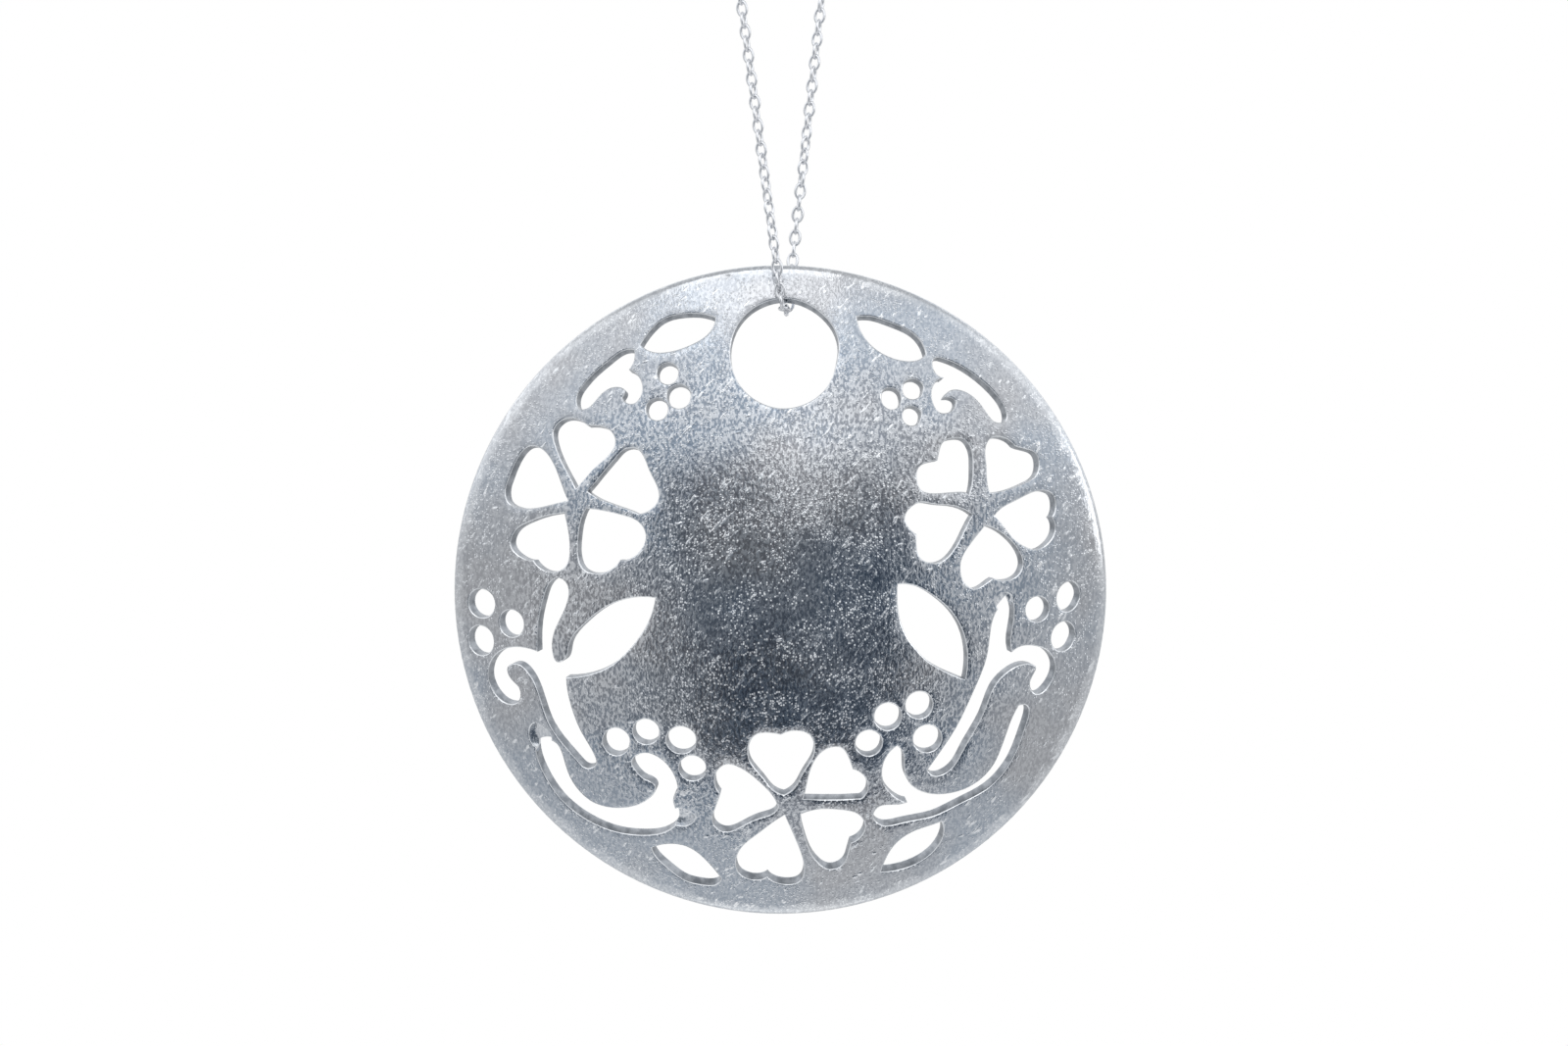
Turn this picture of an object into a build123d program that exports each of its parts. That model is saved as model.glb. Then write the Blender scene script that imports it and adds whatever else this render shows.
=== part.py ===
from build123d import *
import math
import os

os.makedirs("parts", exist_ok=True)

# Disc, in millimetres. The hang hole's margin is the band of metal above it, and its offset is
# how far it stands to the right of the disc's centre.
DISC_DIAMETER = 60.0
SHEET = 1.4
DOME_RADIUS = 69.0
RIM_ROUNDING = 0.7
HANG_HOLE_RADIUS = 4.92
HANG_HOLE_MARGIN = 2.94
HANG_HOLE_OFFSET = 0.36
BLIND_DEPTH = 0.9
HANGING_TILT = 5.0

# Chain, in millimetres. The top of the hang hole's front edge lies this far below the nape, to the
# right of it and in front of it, as the chain hangs from there.
CHAIN_WIDTH = 1.17
HANG_DROP = 206.6
HANG_SIDE_SHIFT = 2.13
HANG_FORWARD = 1.15
CHAIN_BESIDE_BAND = 0.22
CHAIN_UNDER_BAND = 0.43
CHAIN_PAST_RIM = 1.8

# Fastening, in millimetres. The heading is the fastening's slope down from level, in degrees.
FASTENING_HEADING = 35.1
END_LINK_RADIUS = 1.3
END_LINK_WIRE = 0.6
RING_WIRE = 0.7
CLASP_RADIUS = 2.6
CLASP_KNOB = 1.1
END_RING_RADIUS = 1.9
LINK_PLAY = 0.08

DISC_RADIUS = DISC_DIAMETER / 2
CHAIN_RADIUS = CHAIN_WIDTH / 2
HANG_HOLE_TOP = DISC_RADIUS - HANG_HOLE_MARGIN
HANG_HOLE_UP = HANG_HOLE_TOP - HANG_HOLE_RADIUS
HANG_POINT = Vector(HANG_SIDE_SHIFT, -HANG_FORWARD, -HANG_DROP)

# Level planes that every cutter starts and ends at, clear of the sheet on both sides
CUT_MARGIN = 2.0
CUT_FROM = math.sqrt(DOME_RADIUS ** 2 - DISC_RADIUS ** 2) - SHEET - CUT_MARGIN
CUT_TO = DOME_RADIUS + CUT_MARGIN
OVAL_POINTS = 8

# The pierced pattern is drawn flat, from the front, in thousandths of the disc's radius from its
# centre, as (right, up). Each gap is a list of smooth runs. A run begins where the one before it
# ends, the last run closes the gap, and runs meet in corners.
SHARE = DISC_RADIUS / 1000

LEFT_FLOWER = {
    "upper": [
        [(-621, 327), (-650, 380), (-686, 460), (-688, 508), (-660, 534), (-620, 535), (-586, 517)],
        [(-547, 516), (-512, 498), (-502, 468), (-519, 434), (-565, 391), (-600, 351)]],
    "upper right": [
        [(-585, 320), (-543, 371), (-500, 422), (-470, 449), (-435, 449), (-414, 425), (-397, 384),
         (-374, 338), (-370, 300), (-395, 268), (-430, 255)],
        [(-497, 280), (-564, 306)]],
    "lower right": [
        [(-590, 268), (-549, 264), (-479, 250), (-429, 229), (-408, 190), (-422, 148), (-486, 115)],
        [(-511, 87), (-545, 74), (-575, 74), (-600, 88), (-615, 130), (-614, 180), (-606, 230)]],
    "lower left": [
        [(-657, 253), (-710, 243), (-767, 222), (-812, 190), (-823, 155), (-798, 121), (-752, 107)],
        [(-727, 82), (-691, 73), (-652, 94), (-641, 143), (-645, 195)]],
    "upper left": [
        [(-646, 291), (-671, 352), (-700, 415), (-732, 446), (-768, 450), (-800, 418), (-832, 345)],
        [(-839, 313), (-833, 285), (-802, 267), (-760, 264), (-717, 272), (-680, 282)]],
}
RIGHT_FLOWER = {
    "upper left": [
        [(573, 310), (583, 355), (584, 400), (579, 447), (559, 476), (524, 480), (495, 469),
         (482, 438), (477, 415)],
        [(443, 408), (419, 392), (414, 361), (426, 329), (469, 316)]],
    "upper right": [
        [(638, 315), (630, 345), (627, 399), (625, 450), (640, 477), (676, 480), (714, 455)],
        [(756, 441), (780, 428), (788, 405), (778, 363), (748, 344), (697, 325)]],
    "right": [
        [(651, 244), (673, 266), (725, 292), (769, 312), (806, 316), (832, 303), (840, 275), (828, 236)],
        [(839, 203), (833, 180), (809, 152), (778, 139), (745, 149), (711, 173), (680, 212)]],
    "lower": [
        [(623, 216), (662, 200), (697, 173), (731, 127), (738, 95), (724, 64), (694, 49), (647, 56)],
        [(621, 38), (590, 25), (562, 41), (548, 75), (551, 116), (576, 158), (604, 193)]],
    "left": [
        [(583, 249), (561, 264), (518, 278), (462, 284), (425, 289), (391, 270), (378, 247),
         (392, 211), (413, 194)],
        [(413, 158), (423, 124), (448, 108), (486, 110), (524, 142), (559, 204)]],
}
LOWER_FLOWER = {
    "upper": [
        [(11, -607), (43, -583), (67, -539), (97, -487), (102, -448), (88, -418), (49, -405), (2, -418)],
        [(-40, -411), (-76, -419), (-96, -455), (-93, -497), (-51, -555), (-23, -590)]],
    "upper right": [
        [(70, -621), (83, -564), (117, -482), (141, -463), (185, -460), (205, -485), (221, -528)],
        [(248, -542), (265, -570), (265, -597), (245, -621)],
        [(160, -623)]],
    "lower right": [
        [(63, -670), (108, -656), (183, -657), (238, -673), (259, -710), (247, -743), (216, -764)],
        [(206, -800), (186, -840), (150, -850), (118, -830), (96, -800), (76, -745), (65, -700)]],
    "lower left": [
        [(13, -673), (28, -708), (49, -759), (66, -807), (72, -853), (56, -892), (15, -900), (-40, -874)],
        [(-82, -885), (-122, -868), (-136, -826), (-119, -779), (-64, -730), (-14, -690)]],
    "left": [
        [(-8, -647), (-20, -617), (-57, -574), (-116, -526), (-168, -513), (-195, -538), (-199, -570),
         (-183, -605)],
        [(-203, -664), (-203, -705), (-176, -726), (-120, -710), (-64, -682), (-16, -661)]],
}
LEAVES = {
    "top left": [
        [(-425, 762), (-400, 799), (-352, 841), (-287, 856), (-239, 855), (-198, 843)],
        [(-216, 800), (-271, 763), (-336, 742), (-390, 741)]],
    "top right": [
        [(233, 846), (278, 847), (329, 831), (387, 807), (442, 734)],
        [(421, 717), (371, 715), (321, 731), (271, 767), (241, 813)]],
    "right": [
        [(356, 43), (411, 36), (471, 1), (519, -44), (552, -100), (568, -170), (562, -254)],
        [(510, -231), (456, -200), (408, -151), (374, -97), (358, -39)]],
    "lower left": [
        [(-395, -785), (-355, -772), (-291, -777), (-236, -815), (-182, -881)],
        [(-200, -902), (-244, -903), (-295, -889), (-343, -853), (-383, -812)]],
    "lower right": [
        [(494, -703), (501, -733), (487, -777), (446, -821), (388, -850), (310, -862)],
        [(325, -818), (352, -774), (402, -735), (453, -717)]],
}
# Each berry is an oval, as centre right, centre up, half width, half height and lean in degrees
BERRIES = [
    (-342, 676, 32, 32, 0), (-308, 608, 36, 36, 0), (-374, 569, 33, 33, 0),
    (336, 601, 29, 33, 25), (402, 629, 31, 30, 0), (398, 549, 28, 29, 0),
    (-914, -31, 41, 44, 20), (-821, -89, 37, 42, 15), (-917, -146, 39, 46, 15),
    (784, -44, 36, 39, -15), (880, -9, 35, 46, -15), (865, -131, 36, 46, -15),
    (-501, -446, 41, 43, 0), (-409, -412, 40, 39, 0), (-302, -436, 45, 42, 0), (-268, -524, 41, 39, 0),
    (327, -363, 41, 42, 0), (422, -329, 41, 42, 0), (448, -435, 43, 43, 0), (269, -445, 40, 40, 0),
]
SCROLLS = {
    "top left": [
        [(-446, 745), (-481, 742), (-520, 715), (-563, 679), (-598, 641), (-620, 600), (-610, 567),
         (-585, 571), (-558, 599), (-530, 625), (-500, 635), (-475, 628), (-480, 602)],
        [(-468, 588), (-446, 586), (-425, 608), (-420, 640), (-430, 664), (-461, 687)],
        [(-446, 713)]],
    "top right": [
        [(487, 722), (549, 697), (612, 654), (659, 608), (688, 555), (686, 531), (658, 526),
         (628, 556), (578, 611), (520, 625), (498, 603)],
        [(533, 585), (520, 563), (484, 559), (463, 590), (466, 640), (497, 662)],
        [(466, 688), (465, 714)]],
    "left stem": [
        [(-679, 57), (-647, 31), (-652, -26), (-680, -86), (-697, -158), (-679, -205), (-657, -195),
         (-644, -151), (-601, -88), (-533, -32), (-468, -4), (-379, 1)],
        [(-398, -66), (-453, -151), (-507, -203), (-572, -236), (-654, -250)],
        [(-646, -315), (-603, -430), (-571, -487), (-565, -518), (-590, -533), (-626, -505),
         (-672, -452), (-712, -388), (-743, -293), (-771, -239), (-808, -213), (-836, -228),
         (-824, -264), (-800, -290), (-803, -332), (-835, -339), (-874, -311), (-896, -260),
         (-889, -216), (-852, -174), (-799, -162), (-741, -174)],
        [(-737, -75), (-722, -8), (-703, 38)]],
    "right stem": [
        [(696, 0), (711, -40), (705, -104), (706, -175)],
        [(732, -158), (776, -157), (823, -181), (841, -215), (825, -277), (784, -306), (764, -270),
         (781, -222), (762, -212), (702, -227), (657, -270), (618, -363), (559, -472), (517, -537),
         (475, -554), (450, -535)],
        [(479, -493), (536, -405), (589, -292), (632, -173), (658, -47), (680, -18)]],
    "lower left": [
        [(-750, -457), (-725, -448), (-692, -455), (-657, -533), (-621, -603), (-578, -641),
         (-520, -658), (-453, -652), (-405, -628), (-380, -590), (-403, -566)],
        [(-443, -534), (-452, -508), (-417, -480), (-372, -493), (-325, -547), (-314, -597)],
        [(-328, -625), (-321, -654)],
        [(-322, -708), (-352, -730), (-418, -743), (-507, -735), (-611, -689), (-682, -627),
         (-727, -554), (-750, -480)]],
    "lower right": [
        [(730, -341), (755, -345), (747, -416), (714, -504), (646, -592), (543, -649), (472, -682),
         (371, -702), (310, -707), (285, -676), (298, -652), (351, -644), (388, -636)],
        [(343, -611), (311, -550), (321, -495), (355, -456)],
        [(374, -480), (378, -535), (409, -590), (460, -612), (519, -612), (574, -596), (644, -539),
         (681, -463), (702, -399)]],
}


# Ends of three gaps where the saw didn't go right through, as one outline each
BLIND_ENDS = {
    "lower left scroll, top": [(-768, -418), (-750, -398), (-723, -408), (-703, -436), (-712, -478),
                               (-735, -482), (-764, -458)],
    "lower left scroll, end": [(-338, -672), (-300, -654), (-262, -680), (-290, -709), (-338, -695)],
    "right stem, top": [(684, -50), (660, -36), (657, -12), (672, 6), (692, 8), (706, -4), (698, -34)],
}

# The chain's route round the nape in millimetres, as (right, back, up) from the nape: first from
# the clasp to the head of the front strand, then from the head of the back strand to the end ring
CHAIN_ROUTE = [
    (7.8, 0.0, -0.8),
    (2.2, 0.0, 0.95),
    (-9.7, 0.0, -0.7),
    (-19.1, 0.0, -8.3),
    (-23.5, -0.1, -19.5),
    (23.2, -0.1, -20.2),
    (20.5, 0.0, -11.2),
]
FRONT_POINTS = 5
BIGHT_RIGHT = (-0.15, 0.45, 0.8)


def sphere_height(right, up):
    """Height of the dome's outer surface above the sphere's centre"""
    return math.sqrt(DOME_RADIUS ** 2 - right ** 2 - up ** 2)


def ray_point(share, height):
    """Where the ray from the sphere's centre through a point of the pattern meets a level plane"""
    right = share[0] * SHARE
    up = share[1] * SHARE
    scale = height / sphere_height(right, up)
    return (right * scale, up * scale, height)


def gap_wire(runs, height):
    edges = []
    for number, run in enumerate(runs):
        points = list(run)
        if number > 0:
            points.insert(0, runs[number - 1][-1])
        if number == len(runs) - 1:
            points.append(runs[0][0])
        placed = [ray_point(point, height) for point in points]
        edges.append(Line(*placed) if len(placed) == 2 else Spline(*placed))
    return Wire(edges)


def oval_wire(points, height):
    return Wire([Spline(*[ray_point(point, height) for point in points], periodic=True)])


def oval_points(right, up, half_width, half_height, lean):
    turn = math.radians(lean)
    points = []
    for step in range(OVAL_POINTS):
        angle = 2 * math.pi * step / OVAL_POINTS
        across = half_width * math.cos(angle)
        along = half_height * math.sin(angle)
        points.append((right + across * math.cos(turn) - along * math.sin(turn),
                       up + across * math.sin(turn) + along * math.cos(turn)))
    return points


def cutter(lower, upper):
    """A gap's solid, whose walls all point at the sphere's centre, square to the dome"""
    return Solid.make_loft([lower, upper], ruled=True)


def gap_cutters():
    """Every gap of the pattern, the hang hole first"""
    hole = oval_points(HANG_HOLE_OFFSET / SHARE, HANG_HOLE_UP / SHARE,
                       HANG_HOLE_RADIUS / SHARE, HANG_HOLE_RADIUS / SHARE, 0)
    ovals = [hole] + [oval_points(*berry) for berry in BERRIES]
    cutters = [cutter(oval_wire(oval, CUT_FROM), oval_wire(oval, CUT_TO)) for oval in ovals]
    for motif in (LEFT_FLOWER, RIGHT_FLOWER, LOWER_FLOWER, LEAVES, SCROLLS):
        for runs in motif.values():
            cutters.append(cutter(gap_wire(runs, CUT_FROM), gap_wire(runs, CUT_TO)))
    return cutters


def blind_cutters():
    """The shallow ends, each down to a sphere under the outer surface"""
    floor = dome(DOME_RADIUS - BLIND_DEPTH)
    return [cutter(oval_wire(end, CUT_FROM), oval_wire(end, CUT_TO)) - floor
            for end in BLIND_ENDS.values()]


def dome(radius):
    """A ball whose seam and poles are clear of the disc"""
    return Rot(0, 90, 0) * Sphere(radius)


def domed_sheet():
    """The plain domed disc about the sphere's centre, its rim square to the dome and then rounded

    The square edge stands far enough out to leave the rounded rim as wide as the disc.
    """
    rounding_centre = DOME_RADIUS - RIM_ROUNDING
    half = (math.asin((DISC_RADIUS - RIM_ROUNDING) / rounding_centre)
            + math.asin(RIM_ROUNDING / rounding_centre))
    cone = Pos(0, 0, CUT_TO / 2) * Cone(0, CUT_TO * math.tan(half), CUT_TO)
    sheet = (dome(DOME_RADIUS) & cone) - dome(DOME_RADIUS - SHEET)
    rings = sheet.edges().filter_by(GeomType.CIRCLE)
    front_rim = max(rings, key=lambda edge: edge.radius)
    return fillet(front_rim, RIM_ROUNDING)


def hanging_disc_plane():
    """The dome's centre and its outward axis, with the hang hole's front edge at the chain"""
    tilt = math.radians(HANGING_TILT)
    outward = (0, -math.cos(tilt), -math.sin(tilt))
    level = Plane(origin=(0, 0, 0), x_dir=(1, 0, 0), z_dir=outward)
    edge = (HANG_HOLE_OFFSET, HANG_HOLE_TOP, sphere_height(HANG_HOLE_OFFSET, HANG_HOLE_TOP))
    return Plane(origin=HANG_POINT - level.from_local_coords(edge), x_dir=(1, 0, 0), z_dir=outward)


def pendant_disc():
    disc = domed_sheet() - gap_cutters() - blind_cutters()
    return hanging_disc_plane().location * disc


def back_point(up):
    """A point of the disc's back surface above the hang hole's middle"""
    scale = (DOME_RADIUS - SHEET) / DOME_RADIUS
    level = (HANG_HOLE_OFFSET * scale, up * scale, sphere_height(HANG_HOLE_OFFSET, up) * scale)
    return hanging_disc_plane().from_local_coords(level)


def bight_points():
    """The three corners of the chain's way under the band and up its back"""
    lower = back_point(HANG_HOLE_TOP)
    upper = back_point(DISC_RADIUS)
    rise = Vector(0, upper.Y - lower.Y, upper.Z - lower.Z).normalized()
    outward = Vector(0, rise.Z, -rise.Y)
    beside = CHAIN_RADIUS + CHAIN_BESIDE_BAND
    floor = lower.Z - CHAIN_RADIUS - CHAIN_UNDER_BAND
    lower = lower + outward * beside
    upper = upper + outward * beside
    foot = lower + rise * ((floor - lower.Z) / rise.Z)
    right = [HANG_POINT.X + shift for shift in BIGHT_RIGHT]
    return [Vector(right[0], HANG_POINT.Y - beside, floor),
            Vector(right[1], foot.Y, floor),
            Vector(right[2], 0, 0) + Vector(0, upper.Y, upper.Z) + rise * CHAIN_PAST_RIM]


def fastening_places():
    """The way from the chain's first end to its last, and where each link and ring stands on it"""
    heading = math.radians(FASTENING_HEADING)
    towards = Vector(math.cos(heading), 0, -math.sin(heading))
    link = END_LINK_WIRE / 2
    ring = RING_WIRE / 2
    first_link = END_LINK_RADIUS
    clasp = first_link + END_LINK_RADIUS - link - ring - LINK_PLAY + CLASP_RADIUS
    end_ring = clasp + CLASP_RADIUS - 2 * ring - LINK_PLAY + END_RING_RADIUS
    last_link = end_ring + END_RING_RADIUS - ring - link - LINK_PLAY + END_LINK_RADIUS
    reaches = {"first link": first_link, "clasp": clasp, "end ring": end_ring,
               "last link": last_link, "last end": last_link + END_LINK_RADIUS}
    start = Vector(*CHAIN_ROUTE[0])
    return towards, {name: start + towards * reach for name, reach in reaches.items()}


def corner_radii(points):
    """As large as each corner's runs allow, and round the band the band's own size"""
    radii = []
    for before, corner, after in zip(points, points[1:], points[2:]):
        arriving = corner - before
        leaving = after - corner
        half_turn = math.radians(arriving.get_angle(leaving)) / 2
        shorter = min(arriving.length, leaving.length)
        radii.append(0.45 * shorter / math.tan(half_turn))
    radii[FRONT_POINTS - 1] = SHEET / 2 + CHAIN_RADIUS
    radii[FRONT_POINTS] = SHEET / 2 + CHAIN_RADIUS
    return radii


def torus_at(place, axis, radius, wire):
    return Plane(origin=place, z_dir=axis).location * Torus(radius, wire / 2)


def trace_chain():
    """The whole chain as one round bar along its route, with its two end links"""
    towards, places = fastening_places()
    nape = [Vector(*point) for point in CHAIN_ROUTE]
    points = nape[:FRONT_POINTS] + bight_points() + nape[FRONT_POINTS:] + [places["last end"]]
    radii = corner_radii(points)
    path = FilletPolyline(*points, radius=radii)
    section = Plane(origin=path @ 0, z_dir=path % 0) * Circle(CHAIN_RADIUS)
    bar = sweep(section, path=path)
    print("chain radii", [round(radius, 1) for radius in radii])
    print("chain length", round(path.length, 1), "bar volume", round(bar.volume, 2),
          "section x length", round(math.pi * CHAIN_RADIUS ** 2 * path.length, 2))
    upright = towards.cross(Vector(0, 1, 0))
    first = torus_at(places["first link"], upright, END_LINK_RADIUS, END_LINK_WIRE)
    last = torus_at(places["last link"], Vector(0, 1, 0), END_LINK_RADIUS, END_LINK_WIRE)
    return bar + first + last


def clasp_ring():
    """A plain ring with the small knob of its trigger"""
    towards, places = fastening_places()
    ring = torus_at(places["clasp"], Vector(0, 1, 0), CLASP_RADIUS, RING_WIRE)
    outward = Vector(0, 1, 0).cross(towards)
    knob = Pos(*(places["clasp"] + outward * (CLASP_RADIUS + RING_WIRE / 2))) * Sphere(CLASP_KNOB / 2)
    return ring + knob


def end_ring():
    towards, places = fastening_places()
    return torus_at(places["end ring"], towards.cross(Vector(0, 1, 0)), END_RING_RADIUS, RING_WIRE)


SUB_PARTS = {
    "pendant_disc": pendant_disc,
    "trace_chain": trace_chain,
    "clasp_ring": clasp_ring,
    "end_ring": end_ring,
}
for name, make in SUB_PARTS.items():
    export_step(make(), "parts/" + name + ".step")
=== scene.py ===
import math
from collections import namedtuple

import bmesh
import bpy
import numpy as np
from bpy.props import FloatProperty, FloatVectorProperty, IntProperty, PointerProperty
from mathutils import Matrix, Vector, kdtree, noise
from mathutils.geometry import delaunay_2d_cdt


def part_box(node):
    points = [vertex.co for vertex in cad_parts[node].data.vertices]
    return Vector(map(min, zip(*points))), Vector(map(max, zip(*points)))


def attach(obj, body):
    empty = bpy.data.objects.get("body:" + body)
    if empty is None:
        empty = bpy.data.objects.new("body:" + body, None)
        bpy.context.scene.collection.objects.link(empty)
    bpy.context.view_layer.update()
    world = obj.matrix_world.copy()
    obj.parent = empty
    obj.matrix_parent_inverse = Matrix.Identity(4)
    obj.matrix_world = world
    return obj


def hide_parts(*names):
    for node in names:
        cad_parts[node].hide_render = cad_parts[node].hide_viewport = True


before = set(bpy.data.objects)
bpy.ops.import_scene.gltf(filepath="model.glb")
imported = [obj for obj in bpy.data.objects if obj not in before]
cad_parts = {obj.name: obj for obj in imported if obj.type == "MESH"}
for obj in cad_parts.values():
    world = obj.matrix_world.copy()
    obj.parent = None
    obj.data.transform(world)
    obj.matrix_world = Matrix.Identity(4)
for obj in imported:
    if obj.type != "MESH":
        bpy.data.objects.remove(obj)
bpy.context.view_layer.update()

bl_info = {
    "name": "Flower Pendant",
    "version": (1, 0, 0),
    "blender": (4, 5, 0),
    "location": "View3D > Sidebar > Pendant",
    "description": "A domed silver pendant pierced with a flower wreath, on a fine trace chain",
    "category": "Add Mesh",
}

MM = 0.001


def linear(hex_colour):
    """An sRGB hex colour as the linear colour that shaders and lamps take"""
    channels = [int(hex_colour[at:at + 2], 16) / 255 for at in (1, 3, 5)]
    return tuple(c / 12.92 if c <= 0.04045 else ((c + 0.055) / 1.055) ** 2.4 for c in channels)


# Sizes and colours that a user would change

def length(name, description, default):
    """A length property in metres, from a default in millimetres"""
    return FloatProperty(name=name, description=description, default=default * MM, min=0,
                         unit="LENGTH", precision=5)


def colour(name, description, default):
    """A colour property, from a default as an sRGB hex colour"""
    return FloatVectorProperty(name=name, description=description, default=linear(default),
                               size=3, min=0, max=1, subtype="COLOR")


class DiscSettings(bpy.types.PropertyGroup):
    dome_radius: length("Dome radius", "Radius of the disc's outer surface", 69.0)
    sheet: length("Sheet", "Thickness of the silver sheet", 1.4)
    tilt: FloatProperty(name="Tilt", description="How far the disc's front faces down as it hangs",
                        default=math.radians(5), subtype="ANGLE")
    front_wear: length("Front wear", "Rounding of the gaps' front edges by wear", 0.13)
    back_wear: length("Back wear", "Rounding of the gaps' back edges by filing", 0.15)
    wave: length("Wave", "Height of the sheet's slight unevenness", 0.03)
    wave_width: length("Wave width", "Width of one dip or swell of the sheet", 11.0)
    face_step: length("Face step", "Spacing of the points on the dome's faces", 0.7)


class ChainSettings(bpy.types.PropertyGroup):
    link_width: length("Link width", "Width of a trace link over its wire", 1.17)
    wire: length("Wire", "Thickness of a trace link's wire", 0.29)
    pitch: length("Pitch", "Length of chain that each link adds", 1.08)
    twist: FloatProperty(name="Twist", description="How much of the chain's twist is shown",
                         default=1.0, min=0, max=1, subtype="FACTOR")
    play: FloatProperty(name="Play", description="How far a link may lie askew to its neighbours",
                        default=math.radians(9), subtype="ANGLE")
    end_link_radius: length("End link radius", "Radius of each end link along its wire", 1.3)
    end_link_wire: length("End link wire", "Thickness of an end link's wire", 0.6)
    around: IntProperty(name="Points round a link", description="Corners along a link's oval",
                        default=16, min=10, max=24)
    across: IntProperty(name="Points round the wire", description="Corners round a link's wire",
                        default=6, min=5, max=8)


class SilverSettings(bpy.types.PropertyGroup):
    bright: colour("Bright silver", "Silver on the crests of the grain and on worn edges", "#F4F6F8")
    grey: colour("Grey silver", "Silver in the grain's hollows, slightly tarnished", "#8E9AA8")
    warm: colour("Warm silver", "Hollows where the tarnish is browner", "#9A9B9F")
    sawn: colour("Sawn silver", "Silver on the gaps' walls", "#A9ADB2")
    filed: colour("Filed silver", "Duller strokes on the gaps' walls", "#83888E")
    wire: colour("Wire silver", "Silver of the chain's wire", "#FAFAFB")
    rubbed: colour("Rubbed wire", "Wire where handling has dulled it", "#E2E4E8")
    grain: length("Grain", "Width of one grain of the sand-like finish", 0.19)
    crease: length("Crease", "Width of one upright crease between the grains", 0.22)


class StageSettings(bpy.types.PropertyGroup):
    floor_drop: length("Floor drop", "How far the floor lies below the nape", 1000.0)
    floor_width: length("Floor width", "Width of the square floor", 12000.0)
    tent_radius: length("Tent radius", "Radius of the light tent that the silver mirrors", 800.0)
    camera_distance: length("Camera distance", "From the lens to the plane of the disc's rim", 450.0)
    camera_right: length("Camera right", "How far the lens is right of the rim's middle", 0.334)
    camera_up: length("Camera up", "How far the lens is above the rim's middle", 6.329)
    near_limit: length("Near limit", "Nearest that the camera sees", 10.0)
    lens: FloatProperty(name="Lens", description="Focal length in millimetres", default=112.3,
                        min=1, subtype="DISTANCE_CAMERA")
    sensor: FloatProperty(name="Sensor", description="Width of the camera's sensor in millimetres",
                          default=36.0, min=1, subtype="DISTANCE_CAMERA")
    paint: colour("Floor paint", "Matt white paint of the floor", "#F7F8F9")
    surroundings: colour("Surroundings", "Even light from beyond the floor", "#FFFFFF")
    cloth: colour("Tent cloth", "Lit cloth of the light tent", "#F3F5F8")
    shaded_room: colour("Shaded room", "Shaded bands of the room at the tent's opening", "#A8C6EA")
    lit_room: colour("Lit room", "Lit bands of the room at the tent's opening", "#CBD0D6")


# The disc's place, found from its own solid

def disc_axes(tilt):
    """Right, up and outward, as the disc hangs"""
    outward = Vector((0, -math.cos(tilt), -math.sin(tilt)))
    right = Vector((1, 0, 0))
    return right, outward.cross(right), outward


def dome_matrix(settings):
    """Turns millimetres right, up and outward from the dome's centre into the frame's metres"""
    axes = np.array(disc_axes(settings.tilt))
    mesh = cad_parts["pendant_disc"].data
    points = np.array([vertex.co for vertex in mesh.vertices]) @ axes.T
    middle = (points.max(axis=0) + points.min(axis=0)) / 2
    reach = settings.dome_radius ** 2 - ((points[:, :2] - middle[:2]) ** 2).sum(axis=1)
    middle[2] = (points[:, 2] - np.sqrt(reach)).max()
    turned = Matrix(axes.T.tolist()).to_4x4()
    return Matrix.Translation(middle @ axes) @ turned @ Matrix.Scale(MM, 4)


# Outlines and worn edges of the disc, whose side is 1 at the front and -1 at the back

# The disc's surfaces, numbered as its materials are: front and rim, walls of the gaps, and back
GRAINED, SAWN, SATIN = range(3)

# Wear from 0 to 1: of a rounded edge's last row, and of the shallow ends' smoothed floors
HALF_WORN = 0.75
SMOOTHED = 0.85

# The wear's mean width and its spread, as shares of its full width, and its changes in a millimetre
WEAR_MEAN = 0.85
WEAR_SPREAD = 0.35
WEAR_CHANGES = 0.6

# Where rounding would fold an outline over, the wear shrinks to this share of itself at a time,
# until the outline's points keep this share of their distance, or for this many rounds
WEAR_SHRINK = 0.7
KEPT_DISTANCE = 0.12
SHRINK_ROUNDS = 14

# The least divisor of a mitre, which keeps it short at a sharp corner
MITRE_LIMIT = 0.5

# Faces nearer the rim than this, in millimetres, are its rounding, grained like the front
RIM_BAND = 1.05

# Points of the solid nearer to each other than this, in millimetres, are one, and a point this
# near to a dome's radius lies on it
JOIN_DISTANCE = 0.002
DOME_MARGIN = 0.004

# A face whose normal has more than this share along the dome's radius looks outward
OUTWARD_SHARE = 0.7

# Edges that turn by more than this stay sharp
SHARP_ANGLE = math.radians(38)

# How near a point of a dome's face may be to an outline, as a share of the points' spacing
OUTLINE_CLEARANCE = 0.45

# Points nearer to each other than this, in millimetres, are one when the dome is divided
DIVIDE_MARGIN = 1e-6


def outlines_round(faces):
    """The outlines round a group of faces, each running with the group on its left"""
    group = set(faces)
    follower = {}
    for face in faces:
        for loop in face.loops:
            if loop.link_loop_radial_next.face not in group:
                follower[loop.vert] = loop.link_loop_next.vert
    outlines = []
    while follower:
        start, vert = follower.popitem()
        outline = [start]
        while vert is not start:
            outline.append(vert)
            vert = follower.pop(vert)
        outlines.append(outline)
    return outlines


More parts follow.
